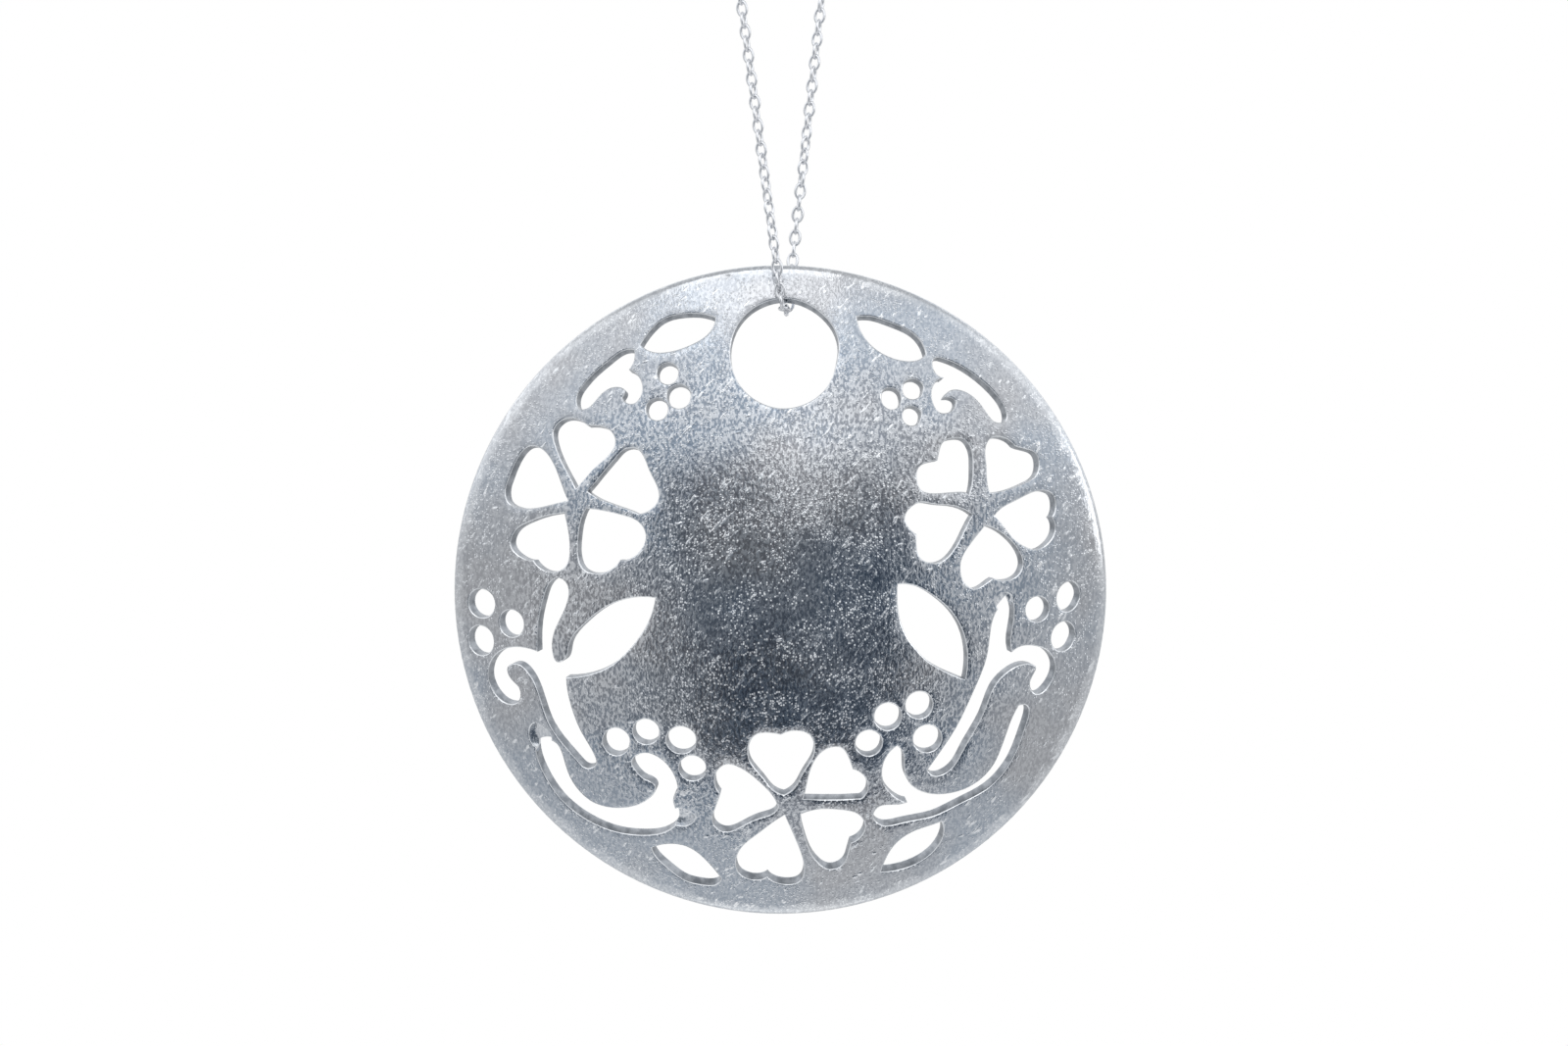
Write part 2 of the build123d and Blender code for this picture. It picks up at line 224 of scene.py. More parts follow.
def inward_from(directions, side):
    """For each point of an outline, the way along the dome into the metal, mitred at corners"""
    after = np.roll(directions, -1, axis=0) - directions
    after /= np.linalg.norm(after, axis=1)[:, None]
    into = np.cross(directions * side, after)
    into /= np.linalg.norm(into, axis=1)[:, None]
    before = np.roll(into, 1, axis=0)
    mitre = (into + before) / (1 + (into * before).sum(axis=1))[:, None].clip(MITRE_LIMIT)
    return mitre, after


def wear_along(directions, mitre, after, radius, wear):
    """The rounding at each point, uneven as handling leaves it, and less where it would fold over"""
    uneven = [WEAR_MEAN + WEAR_SPREAD * noise.noise(Vector(direction) * radius * WEAR_CHANGES)
              for direction in directions]
    widths = np.array(uneven) * wear
    gaps = np.linalg.norm(np.roll(directions, -1, axis=0) - directions, axis=1) * radius
    for _ in range(SHRINK_ROUNDS):
        moved = directions * radius + mitre * widths[:, None]
        kept = ((np.roll(moved, -1, axis=0) - moved) * after).sum(axis=1)
        folded = kept < KEPT_DISTANCE * gaps
        if not folded.any():
            break
        folded |= np.roll(folded, 1)
        widths[folded] *= WEAR_SHRINK
    return widths


def round_edge(bm, outline, radius, side, wear, worn, steps=3):
    """Rounds the edge along an outline and returns the line where it meets the dome's face"""
    places = np.array([vert.co for vert in outline])
    directions = places / np.linalg.norm(places, axis=1)[:, None]
    mitre, after = inward_from(directions, side)
    widths = wear_along(directions, mitre, after, radius, wear)
    line = outline
    for step in range(steps + 1):
        angle = math.pi / 2 * step / steps
        along = directions * radius + mitre * (widths * (1 - math.cos(angle)))[:, None]
        along /= np.linalg.norm(along, axis=1)[:, None]
        along *= (radius - side * widths * (1 - math.sin(angle)))[:, None]
        if step == 0:
            for vert, place in zip(outline, along):
                vert.co = place
                vert[worn] = 1.0
            continue
        fresh = [bm.verts.new(place) for place in along]
        for vert in fresh:
            vert[worn] = 1.0 if step < steps else HALF_WORN
        for at in range(len(line)):
            beside = (at + 1) % len(line)
            face = bm.faces.new((line[at], line[beside], fresh[beside], fresh[at]))
            face.material_index = GRAINED
        line = fresh
    return line


# Faces of the dome between the outlines

def inside(points, lines, at_a_time=800):
    """Which points lie in the metal, where a line sideways crosses outlines an odd number of times"""
    starts = np.concatenate(lines)
    ends = np.concatenate([np.roll(line, -1, axis=0) for line in lines])
    result = []
    for block in np.array_split(points, max(1, len(points) // at_a_time)):
        x, y = block[:, :1], block[:, 1:]
        straddles = (starts[:, 1] > y) != (ends[:, 1] > y)
        rise = np.where(ends[:, 1] == starts[:, 1], 1, ends[:, 1] - starts[:, 1])
        crossing = starts[:, 0] + (y - starts[:, 1]) * (ends[:, 0] - starts[:, 0]) / rise
        result.append((straddles & (x < crossing)).sum(axis=1) % 2 == 1)
    return np.concatenate(result)


def spread_points(lines, step):
    """Evenly spread points in the metal, clear of the outlines"""
    edge = np.concatenate(lines)
    reach = np.abs(edge).max()
    rows = np.arange(-reach, reach, step * math.sqrt(3) / 2)
    grid = np.array([(x + step / 2 * (row % 2), y)
                     for row, y in enumerate(rows) for x in np.arange(-reach, reach, step)])
    grid = grid[inside(grid, lines)]
    tree = kdtree.KDTree(len(edge))
    for at, (x, y) in enumerate(edge):
        tree.insert((x, y, 0), at)
    tree.balance()
    return [point for point in grid if tree.find((*point, 0))[2] > step * OUTLINE_CLEARANCE]


def dome_face(bm, outlines, radius, side, step):
    """Fills the dome between its outlines with small even triangles"""
    lines = [np.array([vert.co.xy for vert in outline]) for outline in outlines]
    edge_verts = [vert for outline in outlines for vert in outline]
    extra = spread_points(lines, step)
    points = [Vector(point) for point in np.concatenate(lines)] + [Vector(point) for point in extra]
    edges = []
    start = 0
    for line in lines:
        edges += [(start + at, start + (at + 1) % len(line)) for at in range(len(line))]
        start += len(line)
    every_triangle = 0
    divided = delaunay_2d_cdt(points, edges, [], every_triangle, DIVIDE_MARGIN)
    flat, _, faces, sources, _, _ = divided
    verts = []
    for place, source in zip(flat, sources):
        known = [at for at in source if at < len(edge_verts)]
        if known:
            verts.append(edge_verts[known[0]])
        else:
            height = math.sqrt(radius ** 2 - place.length_squared)
            verts.append(bm.verts.new((place.x, place.y, height)))
    centres = np.array([[sum(flat[at][axis] for at in face) / 3 for axis in (0, 1)] for face in faces])
    for face, solid in zip(faces, inside(centres, lines)):
        if solid and len({verts[at] for at in face}) == 3:
            corners = [verts[at] for at in face]
            made = bm.faces.new(corners if side > 0 else corners[::-1])
            made.material_index = GRAINED if side > 0 else SATIN


def close_cracks(bm, material):
    """Fills the hairline gaps that thin slivers leave between an outline and the face"""
    cracks = [edge for edge in bm.edges if edge.is_boundary]
    for face in bmesh.ops.holes_fill(bm, edges=cracks, sides=0)["faces"]:
        face.material_index = material


def on_dome(face, radius):
    """Whether a face lies on the dome of this radius"""
    return all(abs(vert.co.length - radius) < DOME_MARGIN for vert in face.verts)


def faces_outward(face):
    """Whether a face looks the way the dome does, not sideways or in"""
    return face.normal.dot(face.calc_center_median().normalized()) > OUTWARD_SHARE


# The disc's parts in turn

def sort_surfaces(bm, front, worn):
    """Tells the rim and the shallow ends' smoothed floors from the walls of the gaps"""
    rim = max(vert.co.xy.length for vert in bm.verts)
    for face in bm.faces:
        face.material_index = SAWN
        if face.calc_center_median().xy.length > rim - RIM_BAND:
            face.material_index = GRAINED
    floors = [face for face in bm.faces if face.material_index == SAWN and faces_outward(face)
              and not on_dome(face, front)]
    for vert in {vert for face in floors for vert in face.verts}:
        vert[worn] = SMOOTHED
        for face in vert.link_faces:
            face.material_index = GRAINED


def remake_side(bm, radius, side, wear, worn, step):
    """Makes the front or the back anew, with the edges of its gaps worn round

    The front's outermost outline is left as it is, because the solid's rim is round there.
    """
    old = [face for face in bm.faces if on_dome(face, radius)]
    outlines = outlines_round(old)
    outlines.sort(key=lambda line: -max(vert.co.xy.length for vert in line))
    bmesh.ops.delete(bm, geom=old, context="FACES_ONLY")
    lines = [outlines[0]] if side > 0 else []
    for outline in outlines[len(lines):]:
        lines.append(round_edge(bm, outline, radius, side, wear, worn))
    dome_face(bm, lines, radius, side, step)
    close_cracks(bm, GRAINED if side > 0 else SATIN)


def drop_loose(bm):
    """Deletes the edges and points that no face uses any more"""
    loose = [edge for edge in bm.edges if not edge.link_faces]
    bmesh.ops.delete(bm, geom=loose, context="EDGES")
    loose = [vert for vert in bm.verts if not vert.link_faces]
    bmesh.ops.delete(bm, geom=loose, context="VERTS")


def raise_waves(bm, front, sizes):
    """Gives the sheet its slight unevenness"""
    width = sizes.wave_width / MM
    for vert in bm.verts:
        outward = vert.co.normalized()
        swell = noise.noise(outward * front / width)
        vert.co += outward * swell * sizes.wave / MM


def drop_carried_normals(mesh):
    """Drops the solid's own normals, which don't fit the faces that are made anew"""
    carried = mesh.attributes.get("custom_normal")
    if carried:
        mesh.attributes.remove(carried)


# Materials

# Height of each kind of mark on the disc's front, in millimetres
MARK_HEIGHTS = dict(grains=0.036, creases=0.026, streaks=0.02, flecks=0.06)

# How far each kind of mark makes the front brighter: worn is all wear, the rim's as well, and
# handled that of the gaps' edges alone
MARK_SHINE = dict(grains=1.0, streaks=1.0, flecks=1.0, worn=0.3, handled=0.45)

# Distances from the dome's crown, in millimetres, over which the grain grows calmer towards the
# rim, and over which the rim itself is worn
CALMING = dict(From_Min=21.0, From_Max=27.0)
RIM_WEAR = dict(From_Min=30.4, From_Max=31.1)


def socket(sockets, name):
    """The socket of a name or an identifier, with _ for a space"""
    names = (name, name.replace("_", " "))
    return next(found for found in sockets if found.identifier in names or found.name in names)


def add(tree, kind, links=None, **settings):
    """Adds one node with its settings, fed by other nodes or by their sockets"""
    made = tree.nodes.new(kind)
    for name, value in settings.items():
        if hasattr(made, name):
            setattr(made, name, value)
        else:
            socket(made.inputs, name).default_value = value
    for name, source in (links or {}).items():
        if isinstance(source, bpy.types.Node):
            source = next(output for output in source.outputs if output.enabled)
        tree.links.new(source, socket(made.inputs, name))
    return made


def new_material(name):
    """A material with no nodes yet, and its node tree"""
    material = bpy.data.materials.new(name)
    material.use_nodes = True
    material.node_tree.nodes.clear()
    return material, material.node_tree


def finish_metal(tree, links):
    """A bare metal surface, with the default IOR"""
    shader = add(tree, "ShaderNodeBsdfPrincipled", links, Metallic=1.0)
    add(tree, "ShaderNodeOutputMaterial", {"Surface": shader})


def millimetres(tree, stretch=(1, 1, 1), turn=(0, 0, 0)):
    """Places on the object in millimetres, turned and stretched

    A pattern that is fed with them has a scale of so many changes in a millimetre.
    """
    place = add(tree, "ShaderNodeTexCoord")
    scale = tuple(share / MM for share in stretch)
    turned = add(tree, "ShaderNodeMapping", {"Vector": place.outputs["Object"]}, Rotation=turn)
    return add(tree, "ShaderNodeMapping", {"Vector": turned}, Scale=scale)


def way_from_crown(tree, place, patches):
    """Distance from the dome's crown in millimetres, made uneven by the patches"""
    disc = bpy.context.scene.pendant_disc
    crown = dome_matrix(disc) @ Vector((0, 0, disc.dome_radius / MM))
    distance = add(tree, "ShaderNodeVectorMath", {"Vector": place}, operation="DISTANCE",
                   Vector_001=crown / MM)
    return add(tree, "ShaderNodeMath", {"Value": patches, "Value_002": distance},
               operation="MULTIPLY_ADD", Value_001=1.5)


def sand_wear(tree, outward):
    """Wear of the gaps' edges from handling, and all wear, which takes in the rim's"""
    edges = add(tree, "ShaderNodeAttribute", attribute_name="worn")
    handled = add(tree, "ShaderNodeMapRange", {"Value": edges.outputs["Fac"]}, From_Min=0.7,
                  interpolation_type="SMOOTHSTEP")
    rim = add(tree, "ShaderNodeMapRange", {"Value": outward}, **RIM_WEAR,
              interpolation_type="SMOOTHSTEP")
    worn = add(tree, "ShaderNodeMath", {"Value": handled, "Value_001": rim}, operation="MAXIMUM")
    return dict(worn=worn, handled=handled)


def sand_marks(tree, finish, place, patches):
    """Grains that stand in patches, upright creases, slanting streaks and a few flecks"""
    cells = add(tree, "ShaderNodeTexVoronoi", {"Vector": place}, Scale=MM / finish.grain)
    chance = add(tree, "ShaderNodeSeparateColor", {"Color": cells.outputs["Color"]})
    bite = add(tree, "ShaderNodeMath", {"Value": patches, "Value_002": chance},
               operation="MULTIPLY_ADD", Value_001=2.6)
    raised = add(tree, "ShaderNodeMapRange", {"Value": bite}, From_Min=1.75, From_Max=2.25)
    domes = add(tree, "ShaderNodeMapRange", {"Value": cells}, From_Max=0.55, To_Min=1.0, To_Max=0.0,
                interpolation_type="SMOOTHSTEP")
    grains = add(tree, "ShaderNodeMath", {"Value": raised, "Value_001": domes}, operation="MULTIPLY")
    creases = add(tree, "ShaderNodeTexNoise", {"Vector": millimetres(tree, (1.0, 1.0, 0.55))},
                  Scale=MM / finish.crease, Detail=2.0)
    dragged = millimetres(tree, (1.0, 1.0, 0.3), (0, math.radians(-40), 0))
    drags = add(tree, "ShaderNodeTexNoise", {"Vector": dragged}, Scale=2.2, Detail=3.0)
    streaks = add(tree, "ShaderNodeMapRange", {"Value": drags}, From_Min=0.6, From_Max=0.74,
                  interpolation_type="SMOOTHSTEP")
    scraped = millimetres(tree, (0.6, 1.0, 1.4), (0, math.radians(15), 0))
    dents = add(tree, "ShaderNodeTexVoronoi", {"Vector": scraped}, Scale=0.4)
    flecks = add(tree, "ShaderNodeMapRange", {"Value": dents}, From_Max=0.09, To_Min=1.0, To_Max=0.0)
    return dict(grains=grains, creases=creases, streaks=streaks, flecks=flecks)


def sand_relief(tree, marks):
    """The marks as a bump, nearly flat where the silver is worn"""
    height = add(tree, "ShaderNodeMath", {"Value": marks["grains"]}, operation="MULTIPLY",
                 Value_001=MARK_HEIGHTS["grains"])
    for mark in ("creases", "streaks", "flecks"):
        height = add(tree, "ShaderNodeMath", {"Value": marks[mark], "Value_002": height},
                     operation="MULTIPLY_ADD", Value_001=MARK_HEIGHTS[mark])
    keep = add(tree, "ShaderNodeMapRange", {"Value": marks["worn"]}, To_Min=1.0, To_Max=0.1)
    relief = add(tree, "ShaderNodeMath", {"Value": height, "Value_001": keep}, operation="MULTIPLY")
    return add(tree, "ShaderNodeBump", {"Height": relief}, Strength=1.0, Distance=MM)


def sand_shade(tree, finish, place, marks, outward):
    """Bright crests, marks and worn edges over greyer hollows, some of them browner"""
    crisp = add(tree, "ShaderNodeMapRange", {"Value": marks["creases"]}, From_Min=0.43, From_Max=0.57,
                To_Max=0.6)
    calm = add(tree, "ShaderNodeMapRange", {"Value": outward}, **CALMING, To_Max=0.65,
               interpolation_type="SMOOTHSTEP")
    tone = add(tree, "ShaderNodeMix", {"Factor": calm, "A": crisp}, B=0.32)
    for mark, shine in MARK_SHINE.items():
        tone = add(tree, "ShaderNodeMath", {"Value": marks[mark], "Value_002": tone},
                   operation="MULTIPLY_ADD", Value_001=shine, use_clamp=True)
    tarnish = add(tree, "ShaderNodeTexNoise", {"Vector": place}, Scale=0.07, Detail=3.0)
    warmth = add(tree, "ShaderNodeMapRange", {"Value": tarnish}, From_Min=0.42, From_Max=0.6)
    hollow = add(tree, "ShaderNodeMix", {"Factor": warmth}, data_type="RGBA",
                 A_Color=(*finish.grey, 1), B_Color=(*finish.warm, 1))
    return add(tree, "ShaderNodeMix", {"Factor": tone, "A_Color": hollow}, data_type="RGBA",
               B_Color=(*finish.bright, 1))


def sand_textured_silver(finish):
    """Silver sheet pressed against grit: raised grains and creases sparkle on a greyer ground

    The grain is calmer towards the rim, and handling has worn the rim and the gaps' edges bright.
    The real grains are finer than the render can show, so they are drawn a little wider.
    """
    material, tree = new_material("sand_textured_silver")
    place = millimetres(tree)
    patches = add(tree, "ShaderNodeTexNoise", {"Vector": place}, Scale=0.3, Detail=4.0, Roughness=0.65)
    outward = way_from_crown(tree, place, patches)
    marks = sand_marks(tree, finish, place, patches) | sand_wear(tree, outward)
    gloss = add(tree, "ShaderNodeMapRange", {"Value": patches}, From_Min=0.35, From_Max=0.65,
                To_Min=0.12, To_Max=0.2)
    finish_metal(tree, {"Base Color": sand_shade(tree, finish, place, marks, outward),
                        "Roughness": gloss, "Normal": sand_relief(tree, marks)})
    return material


def sawn_silver(finish):
    """Walls that the piercing saw and a needle file left: fine strokes straight across the sheet"""
    material, tree = new_material("sawn_silver")
    strokes = add(tree, "ShaderNodeTexNoise", {"Vector": millimetres(tree, (1, 0.2, 1))},
                  Scale=1.4, Detail=2.0)
    bump = add(tree, "ShaderNodeBump", {"Height": strokes}, Strength=1.0, Distance=0.04 * MM)
    gloss = add(tree, "ShaderNodeMapRange", {"Value": strokes}, To_Min=0.16, To_Max=0.34)
    bare = add(tree, "ShaderNodeMapRange", {"Value": strokes}, From_Min=0.4, From_Max=0.6)
    shade = add(tree, "ShaderNodeMix", {"Factor": bare}, data_type="RGBA",
                A_Color=(*finish.filed, 1), B_Color=(*finish.sawn, 1))
    finish_metal(tree, {"Base Color": shade, "Roughness": gloss, "Normal": bump})
    return material


def satin_silver(finish):
    """The back, rubbed down with fine paper: soft straight scratches on a satin ground"""
    material, tree = new_material("satin_silver")
    rubbed = millimetres(tree, (0.12, 1, 3.2), (0, math.radians(-35), 0))
    scratches = add(tree, "ShaderNodeTexNoise", {"Vector": rubbed}, Scale=2.6, Detail=4.0,
                    Roughness=0.7)
    bump = add(tree, "ShaderNodeBump", {"Height": scratches}, Strength=0.4, Distance=0.03 * MM)
    shade = add(tree, "ShaderNodeMix", {"Factor": scratches}, data_type="RGBA",
                A_Color=(*finish.grey, 1), B_Color=(*finish.bright, 1))
    gloss = add(tree, "ShaderNodeMapRange", {"Value": scratches}, To_Min=0.26, To_Max=0.42)
    finish_metal(tree, {"Base Color": shade, "Roughness": gloss, "Normal": bump})
    return material


def drawn_wire_silver(finish):
    """Bright wire of the chain, a little dulled by handling"""
    material, tree = new_material("drawn_wire_silver")
    handling = add(tree, "ShaderNodeTexNoise", {"Vector": millimetres(tree)}, Scale=1.4, Detail=3.0)
    gloss = add(tree, "ShaderNodeMapRange", {"Value": handling}, From_Min=0.3, From_Max=0.7,
                To_Min=0.1, To_Max=0.24)
    shade = add(tree, "ShaderNodeMix", {"Factor": handling}, data_type="RGBA",
                A_Color=(*finish.rubbed, 1), B_Color=(*finish.wire, 1))
    finish_metal(tree, {"Base Color": shade, "Roughness": gloss})
    return material


def matt_white_paint(stage):
    """Matt paint of the studio's floor: white, with no gloss to mirror the pendant"""
    material, tree = new_material("matt_white_paint")
    shader = add(tree, "ShaderNodeBsdfPrincipled", Roughness=0.9, Base_Color=(*stage.paint, 1))
    add(tree, "ShaderNodeOutputMaterial", {"Surface": shader})
    return material


def material_named(name, make):
    """A silver that is there already, or else made now"""
    return bpy.data.materials.get(name) or make(bpy.context.scene.pendant_silver)


# The chain's route

Corner = namedtuple("Corner", "right back up")

# Corners of the chain's route in millimetres from the nape, all the way round from the clasp,
# under the band above the hang hole and up again to the end ring
CHAIN_ROUTE = [
    Corner(right=7.8, back=0.0, up=-0.8),
    Corner(right=2.2, back=0.0, up=0.95),
    Corner(right=-9.7, back=0.0, up=-0.7),
    Corner(right=-19.1, back=0.0, up=-8.3),
    Corner(right=-23.5, back=-0.1, up=-19.5),
    Corner(right=1.98, back=-1.75, up=-207.5),
    Corner(right=2.45, back=0.9, up=-207.7),
    Corner(right=2.93, back=2.59, up=-202.62),
    Corner(right=23.2, back=-0.1, up=-20.2),
    Corner(right=20.5, back=0.0, up=-11.2),
    Corner(right=17.59, back=0.0, up=-7.68),
]

# The two corners under the band, counted from 0, and the radius of the chain's bend at each
BAND_CORNERS = (5, 6)
BAND_BEND_RADIUS = 1.0

# At the other corners an arc starts this share of the shorter run away from the corner
ARC_SHARE = 0.45

# Spacing in millimetres of the places along the route's arcs
ROUTE_STEP = 0.1

# How far the chain is turned on itself, in degrees, at links counted from the one under the band:
# those before it hang in front of the band, and those after it behind
CHAIN_TWISTS = [
    dict(link=-60, turn=-30),
    dict(link=-24, turn=12),
    dict(link=-14, turn=14),
    dict(link=-9, turn=46),
    dict(link=-4, turn=8),
    dict(link=0, turn=0),
    dict(link=10, turn=10),
    dict(link=15, turn=48),
    dict(link=19, turn=84),
    dict(link=60, turn=60),
]

# Where the noise for the links' play is read: so far on for each link, along a line so far off
PLAY_STEP = 1.7
PLAY_OFFSET = 8.3


def route_places(step):
    """Places along the route, close together, in millimetres: straight runs joined by arcs"""
    corners = [Vector(corner) for corner in CHAIN_ROUTE]
    places = [corners[0]]
    for at in range(1, len(corners) - 1):
        before = (corners[at - 1] - corners[at]).normalized()
        after = (corners[at + 1] - corners[at]).normalized()
        half_turn = (math.pi - before.angle(after)) / 2
        shorter = min((corners[at - 1] - corners[at]).length, (corners[at + 1] - corners[at]).length)
        radius = ARC_SHARE * shorter / math.tan(half_turn)
        if at in BAND_CORNERS:
            radius = BAND_BEND_RADIUS
        middle = corners[at] + (before + after).normalized() * radius / math.cos(half_turn)
        first = corners[at] + before * radius * math.tan(half_turn) - middle
        axis = before.cross(after)
        count = max(2, round(2 * half_turn * radius / step))
        for number in range(count + 1):
            turn = Matrix.Rotation(-2 * half_turn * number / count, 3, axis)
            places.append(middle + turn @ first)
    return places + [corners[-1]]


def along_route(places, reaches):
    """The place and the direction at each distance along the route"""
    found = []
    at = 0
    passed = 0.0
    for reach in reaches:
        while at < len(places) - 2 and passed + (places[at + 1] - places[at]).length < reach:
            passed += (places[at + 1] - places[at]).length
            at += 1
        run = places[at + 1] - places[at]
        found.append((places[at] + run.normalized() * (reach - passed), run.normalized()))
    return found


def oval_link(half_width, half_length, wire, around, across):
    """One link's corners about its middle, long along Z, and its faces"""
    corners = []
    for step in range(around):
        angle = 2 * math.pi * step / around
        place = Vector((half_width * math.cos(angle), 0, half_length * math.sin(angle)))
        out = Vector((math.cos(angle) * half_length, 0, math.sin(angle) * half_width)).normalized()
        for turn in range(across):
            round_wire = 2 * math.pi * turn / across
            corners.append(place + (out * math.cos(round_wire)
                                    + Vector((0, math.sin(round_wire), 0))) * wire / 2)
    faces = []
    for step in range(around):
        for turn in range(across):
            beside = (step + 1) % around
            over = (turn + 1) % across
            faces.append((step * across + turn, step * across + over,
                          beside * across + over, beside * across + turn))
    return np.array(corners), np.array(faces)


def frames_along(found):
    """A frame at each place whose Z runs along the route and whose X turns as little as it can"""
    across = Vector((1, 0, 0))
    frames = []
    for _, direction in found:
        across = (across - direction * across.dot(direction)).normalized()
        frames.append(np.array((across, direction.cross(across), direction)).T)
    return frames


def link_reaches(places, first, pitch):
    """How far along the route each link's middle lies, one of them right under the band"""
    under = (Vector(CHAIN_ROUTE[BAND_CORNERS[0]]) + Vector(CHAIN_ROUTE[BAND_CORNERS[1]])) / 2
    runs = [(b - a).length for a, b in zip(places, places[1:])]
    nearest = min(range(len(places)), key=lambda at: (places[at] - under).length)
    band = sum(runs[:nearest])
    before = round((band - first) / pitch)
    after = round((sum(runs) - first - band) / pitch)
    reaches = np.interp(np.arange(-before, after + 1), (-before, 0, after),
                        (first, band, sum(runs) - first))
    return reaches, before


def trace_links(sizes):
    """The small oval links along the route, as the corners and faces of each"""
    wire = sizes.wire / MM
    end_wire = sizes.end_link_wire / MM
    half_length = (sizes.pitch / MM + wire) / 2
    half_width = (sizes.link_width / MM - wire) / 2
    places = route_places(ROUTE_STEP)
    reaches, band_link = link_reaches(places, half_length - (end_wire + wire) / 2, sizes.pitch / MM)
    found = along_route(places, reaches)
    frames = frames_along(found[band_link::-1])[::-1] + frames_along(found[band_link:])[1:]
    turns = [(twist["link"], math.radians(twist["turn"])) for twist in CHAIN_TWISTS]
    link, faces = oval_link(half_width, half_length, wire, sizes.around, sizes.across)
    links = []
    for number, ((middle, _), axes) in enumerate(zip(found, frames)):
        place = number - band_link
        turn = np.interp(place, *zip(*turns)) * sizes.twist
        turn += noise.noise(Vector((place * PLAY_STEP, 0, PLAY_OFFSET))) * sizes.play
        quarter = Matrix.Rotation(math.pi / 2 * (place % 2) + turn, 3, "Z")
        axes = axes @ np.array(quarter)
        links.append((link @ axes.T + np.array(middle), faces))
    return links


def end_links(sizes):
    """The larger round link at each end of the chain, as the corners and faces of each"""
    radius = sizes.end_link_radius / MM
    link, faces = oval_link(radius, radius, sizes.end_link_wire / MM, sizes.around, sizes.across)
    first = Vector(CHAIN_ROUTE[0])
    last = Vector(CHAIN_ROUTE[-1])
    towards = (last - first).normalized()
    back = Vector((0, 1, 0))
    links = []
    for end, way, normal in ((first, 1, towards.cross(back)), (last, -1, back)):
        middle = end + towards * way * radius
        axes = np.array((normal.cross(towards), normal, towards)).T
        links.append((link @ axes.T + np.array(middle), faces))
    return links


def joined(links):
    """One mesh's corners and faces from those of all links"""
    counts = [len(corners) for corners, _ in links]
    starts = np.cumsum([0] + counts[:-1])
    corners = np.concatenate([corners for corners, _ in links])
    return corners, np.concatenate([faces + start for (_, faces), start in zip(links, starts)])


# Operators

class AddPendantDisc(bpy.types.Operator):
    """Builds the pierced disc over its solid, with worn edges and a slightly uneven sheet"""
    bl_idname = "pendant.add_disc"
    bl_label = "Add Pendant Disc"

    def execute(self, context):
        sizes = context.scene.pendant_disc
        place = dome_matrix(sizes)
        front = sizes.dome_radius / MM
        back = front - sizes.sheet / MM
        bm = bmesh.new()
        bm.from_mesh(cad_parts["pendant_disc"].data)
        bmesh.ops.transform(bm, matrix=place.inverted(), verts=bm.verts)
        bmesh.ops.remove_doubles(bm, verts=bm.verts, dist=JOIN_DISTANCE)
        worn = bm.verts.layers.float.new("worn")
        sort_surfaces(bm, front, worn)
        for side, radius, wear in ((1, front, sizes.front_wear), (-1, back, sizes.back_wear)):
            remake_side(bm, radius, side, wear / MM, worn, sizes.face_step / MM)
        bmesh.ops.recalc_face_normals(bm, faces=bm.faces)
        drop_loose(bm)
        raise_waves(bm, front, sizes)
        bmesh.ops.transform(bm, matrix=place, verts=bm.verts)
        mesh = bpy.data.meshes.new("pierced_disc")
        bm.to_mesh(mesh)
        bm.free()
        drop_carried_normals(mesh)
        mesh.shade_smooth()
        mesh.set_sharp_from_angle(angle=SHARP_ANGLE)
        for name, make in (("sand_textured_silver", sand_textured_silver),
                           ("sawn_silver", sawn_silver), ("satin_silver", satin_silver)):
            mesh.materials.append(material_named(name, make))
        disc = bpy.data.objects.new("pierced_disc", mesh)
        context.scene.collection.objects.link(disc)
        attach(disc, "pendant")
        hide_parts("pendant_disc")
        return {"FINISHED"}


class AddTraceChain(bpy.types.Operator):
    """Builds the oval links along the chain's route, each turned a quarter from the last"""
    bl_idname = "pendant.add_chain"
    bl_label = "Add Trace Chain"

    def execute(self, context):
        sizes = context.scene.pendant_chain
        corners, faces = joined(trace_links(sizes) + end_links(sizes))
        mesh = bpy.data.meshes.new("trace_links")
        mesh.from_pydata((corners * MM).tolist(), [], faces.tolist())
        mesh.update()
        mesh.shade_smooth()
        mesh.materials.append(material_named("drawn_wire_silver", drawn_wire_silver))
        chain = bpy.data.objects.new("trace_links", mesh)
        context.scene.collection.objects.link(chain)
        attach(chain, "chain")
        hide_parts("trace_chain")
        return {"FINISHED"}


class FinishFastening(bpy.types.Operator):
    """Gives the clasp ring and the end ring the finish of the chain's wire"""
    bl_idname = "pendant.finish_fastening"
    bl_label = "Finish Fastening"

    def execute(self, context):
        for name in ("clasp_ring", "end_ring"):
            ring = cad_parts[name]
            for slot in ring.material_slots:
                slot.material = material_named("drawn_wire_silver", drawn_wire_silver)
        return {"FINISHED"}


# The stage

# Edges of the tent's dark opening, where its darkness comes or goes along one axis of the way
# that the silver looks: X to the right, Y away from the lens, Z up
OPENING_EDGES = [
    dict(axis="X", start=-0.39, end=-0.36, before=0.0, after=1.0),
    dict(axis="X", start=0.36, end=0.42, before=1.0, after=0.0),
    dict(axis="Z", start=-0.7, end=-0.6, before=0.0, after=1.0),
    dict(axis="Z", start=0.08, end=0.27, before=1.0, after=0.0),
]

# How light the tent's cloth is along the same axes: each row multiplies the ones before
CLOTH_SHADES = [
    dict(axis="Z", start=-0.05, end=0.42, before=0.7, after=1.12),
    dict(axis="Z", start=0.6, end=0.9, before=1.0, after=0.6),
    dict(axis="Z", start=-0.85, end=-0.55, before=1.12, after=1.0),
]

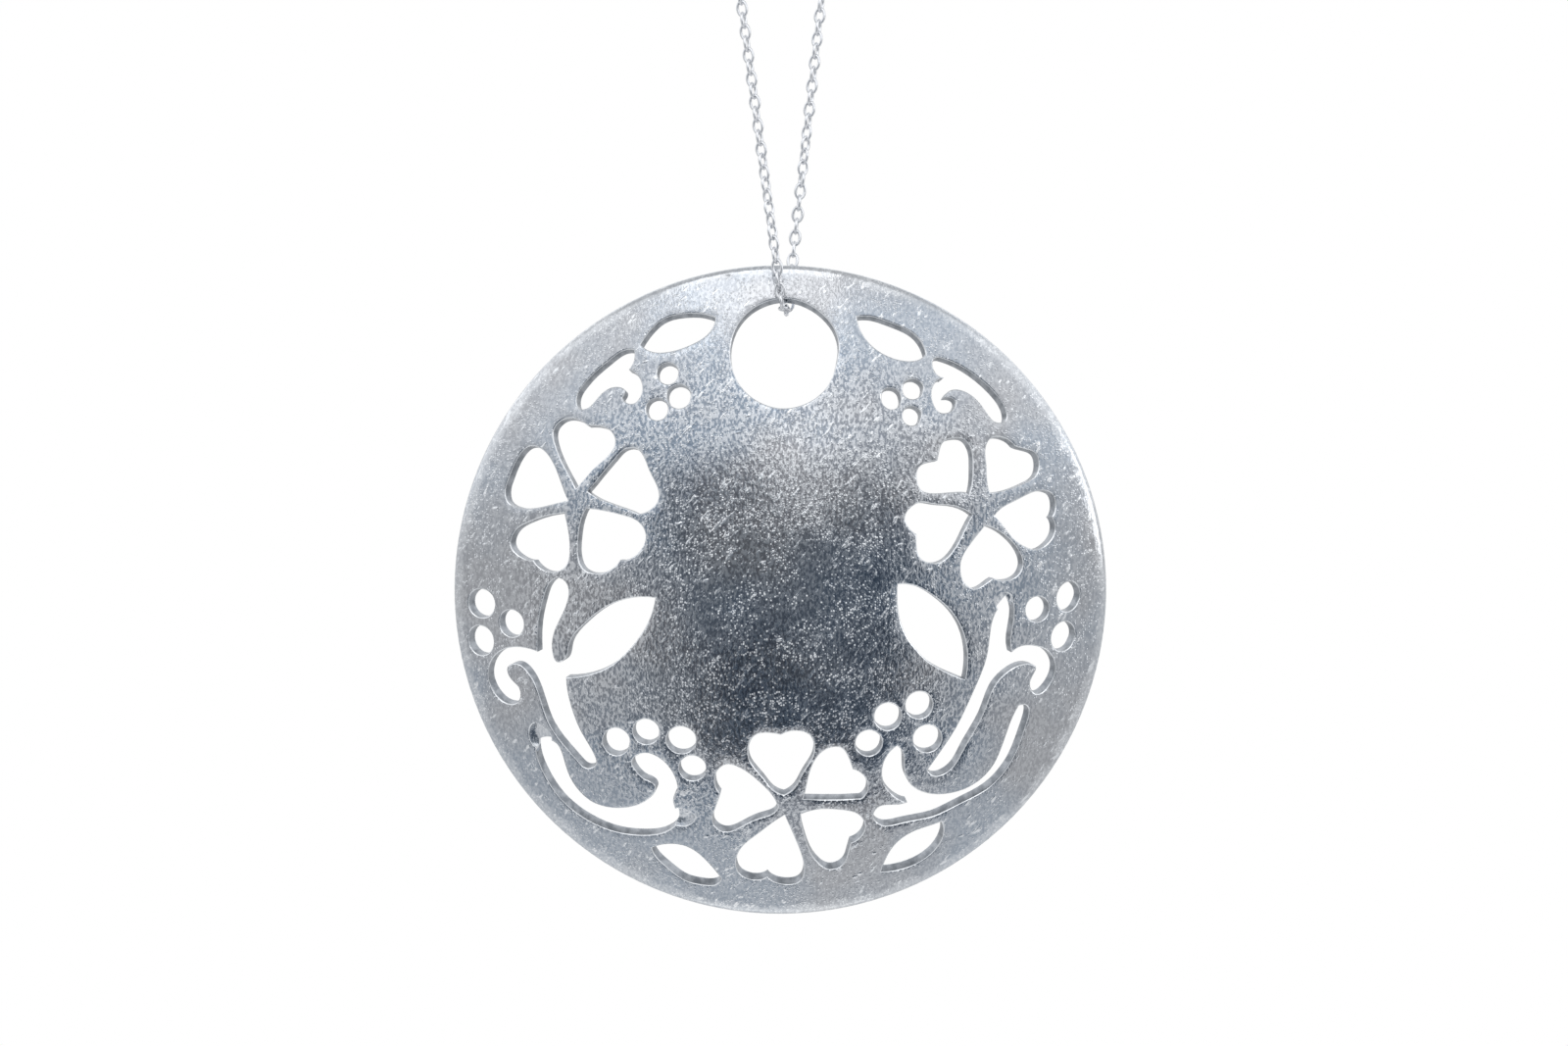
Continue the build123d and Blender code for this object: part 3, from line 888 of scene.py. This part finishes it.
# Brightness of the shaded and of the lit bands of the room that the opening shows
ROOM_LEVELS = dict(To_Min=0.12, To_Max=0.44)


def faded(tree, axes, fades, level=None):
    """A level multiplied by all fades, or their product alone"""
    for fade in fades:
        part = add(tree, "ShaderNodeMapRange", {"Value": axes.outputs[fade["axis"]]},
                   From_Min=fade["start"], From_Max=fade["end"], To_Min=fade["before"],
                   To_Max=fade["after"], interpolation_type="SMOOTHSTEP")
        if level is None:
            level = part
        else:
            level = add(tree, "ShaderNodeMath", {"Value": level, "Value_001": part},
                        operation="MULTIPLY")
    return level


def tent_light(stage):
    """Pale cloth, lit from above, with a tall opening at the lens that shows a dim room"""
    material, tree = new_material("light_tent")
    place = add(tree, "ShaderNodeTexCoord")
    way = add(tree, "ShaderNodeVectorMath", {"Vector": place.outputs["Object"]}, operation="NORMALIZE")
    axes = add(tree, "ShaderNodeSeparateXYZ", {"Vector": way})
    towards_lens = add(tree, "ShaderNodeMapRange", {"Value": axes.outputs["Y"]}, From_Min=-0.1,
                       From_Max=0.1, To_Min=1.0, To_Max=0.0)
    opening = faded(tree, axes, OPENING_EDGES, towards_lens)
    cloth = faded(tree, axes, CLOTH_SHADES)
    leaning = add(tree, "ShaderNodeMapping", {"Vector": way}, Rotation=(0, math.radians(-30), 0),
                  Scale=(5.0, 1.0, 1.2), Location=(6.1, 0.0, 0.0))
    room = add(tree, "ShaderNodeTexNoise", {"Vector": leaning}, Scale=1.5, Detail=1.0)
    lit = add(tree, "ShaderNodeMapRange", {"Value": room}, From_Min=0.45, From_Max=0.55)
    dim = add(tree, "ShaderNodeMapRange", {"Value": lit}, **ROOM_LEVELS)
    level = add(tree, "ShaderNodeMix", {"Factor": opening, "A": cloth, "B": dim})
    walls = add(tree, "ShaderNodeMix", {"Factor": lit}, data_type="RGBA",
                A_Color=(*stage.shaded_room, 1), B_Color=(*stage.lit_room, 1))
    tint = add(tree, "ShaderNodeMix", {"Factor": opening, "B_Color": walls}, data_type="RGBA",
               A_Color=(*stage.cloth, 1))
    glow = add(tree, "ShaderNodeEmission", {"Color": tint, "Strength": level})
    add(tree, "ShaderNodeOutputMaterial", {"Surface": glow})
    return material


# Lamps, each this far (right, back, up) from the middle of the disc's rim, and each this wide and
# high, in metres, with its power in watts
SOFTBOXES = [
    dict(name="key_softbox", away=(-0.05, -0.4, 0.45), width=0.3, height=0.3, power=0.22),
    dict(name="side_softbox", away=(0.6, -0.2, 0.1), width=0.25, height=0.25, power=0.2),
    dict(name="strip_softbox", away=(0.035, -0.6, 0.13), width=0.07, height=0.22, power=0.035),
]


class SetStage(bpy.types.Operator):
    """Sets the pale floor, the soft light and the camera at the photograph's angle"""
    bl_idname = "pendant.set_stage"
    bl_label = "Set Stage"

    def execute(self, context):
        scene = context.scene
        sizes = scene.pendant_stage
        disc = scene.pendant_disc
        scene.view_settings.view_transform = "Standard"
        place = dome_matrix(disc)
        low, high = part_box("pendant_disc")
        rim_height = math.sqrt(disc.dome_radius ** 2 - ((high.x - low.x) / 2) ** 2)
        rim_middle = place @ Vector((0, 0, rim_height / MM))
        self.add_floor(scene, sizes)
        self.add_tent(scene, sizes, rim_middle)
        for lamp in SOFTBOXES:
            self.add_lamp(scene, rim_middle, **lamp)
        self.add_surroundings(scene, sizes)
        self.add_camera(scene, sizes, rim_middle)
        return {"FINISHED"}

    def add_floor(self, scene, sizes):
        """A wide square floor, far below the pendant"""
        mesh = bpy.data.meshes.new("pale_floor")
        half = sizes.floor_width / 2
        mesh.from_pydata([(-half, -half, 0), (half, -half, 0), (half, half, 0), (-half, half, 0)], [],
                         [(0, 1, 2, 3)])
        mesh.materials.append(matt_white_paint(sizes))
        floor = bpy.data.objects.new("pale_floor", mesh)
        floor.location.z = -sizes.floor_drop
        scene.collection.objects.link(floor)

    def add_tent(self, scene, sizes, middle):
        """A ball round the pendant that only reflections see"""
        bm = bmesh.new()
        bmesh.ops.create_icosphere(bm, subdivisions=4, radius=sizes.tent_radius)
        mesh = bpy.data.meshes.new("light_tent")
        bm.to_mesh(mesh)
        bm.free()
        mesh.materials.append(tent_light(sizes))
        tent = bpy.data.objects.new("light_tent", mesh)
        tent.location = middle
        for kind in ("camera", "diffuse", "transmission", "volume_scatter", "shadow"):
            setattr(tent, "visible_" + kind, False)
        scene.collection.objects.link(tent)

    def add_lamp(self, scene, target, name, away, width, height, power):
        """A soft flat lamp that faces its target and isn't seen itself"""
        lamp = bpy.data.objects.new(name, bpy.data.lights.new(name, "AREA"))
        lamp.data.shape = "RECTANGLE"
        lamp.data.size = width
        lamp.data.size_y = height
        lamp.data.energy = power
        lamp.location = target + Vector(away)
        lamp.rotation_euler = (-Vector(away)).to_track_quat("-Z", "Y").to_euler()
        lamp.visible_camera = False
        scene.collection.objects.link(lamp)

    def add_surroundings(self, scene, sizes):
        """Even light from all sides, which also is the pale backdrop"""
        world = bpy.data.worlds.new("white_room")
        world.use_nodes = True
        background = world.node_tree.nodes["Background"]
        background.inputs["Color"].default_value = (*sizes.surroundings, 1)
        background.inputs["Strength"].default_value = 1.0
        scene.world = world

    def add_camera(self, scene, sizes, rim_middle):
        """A level camera in front of the disc"""
        camera = bpy.data.objects.new("camera", bpy.data.cameras.new("camera"))
        camera.data.lens = sizes.lens
        camera.data.sensor_width = sizes.sensor
        camera.data.clip_start = sizes.near_limit
        away = Vector((sizes.camera_right, -sizes.camera_distance, sizes.camera_up))
        camera.location = rim_middle + away
        camera.rotation_euler = (math.pi / 2, 0, 0)
        scene.collection.objects.link(camera)
        scene.camera = camera


class PendantPanel(bpy.types.Panel):
    """The sizes and colours, and a button for each operator"""
    bl_idname = "VIEW3D_PT_flower_pendant"
    bl_label = "Flower Pendant"
    bl_space_type = "VIEW_3D"
    bl_region_type = "UI"
    bl_category = "Pendant"

    def draw(self, context):
        for group in SETTINGS:
            settings = getattr(context.scene, group)
            for name in settings.bl_rna.properties.keys():
                if name not in ("rna_type", "name"):
                    self.layout.prop(settings, name)
        for operator in OPERATORS:
            self.layout.operator(operator.bl_idname)


SETTINGS = {
    "pendant_disc": DiscSettings,
    "pendant_chain": ChainSettings,
    "pendant_silver": SilverSettings,
    "pendant_stage": StageSettings,
}
OPERATORS = (AddPendantDisc, AddTraceChain, FinishFastening, SetStage)


def register():
    for group in (*SETTINGS.values(), *OPERATORS, PendantPanel):
        bpy.utils.register_class(group)
    for name, group in SETTINGS.items():
        setattr(bpy.types.Scene, name, PointerProperty(type=group))


def unregister():
    for name in SETTINGS:
        delattr(bpy.types.Scene, name)
    for group in reversed((*SETTINGS.values(), *OPERATORS, PendantPanel)):
        bpy.utils.unregister_class(group)


def main():
    register()
    bpy.ops.pendant.add_disc()
    bpy.ops.pendant.add_chain()
    bpy.ops.pendant.finish_fastening()
    bpy.ops.pendant.set_stage()


if __name__ == "__main__":
    main()
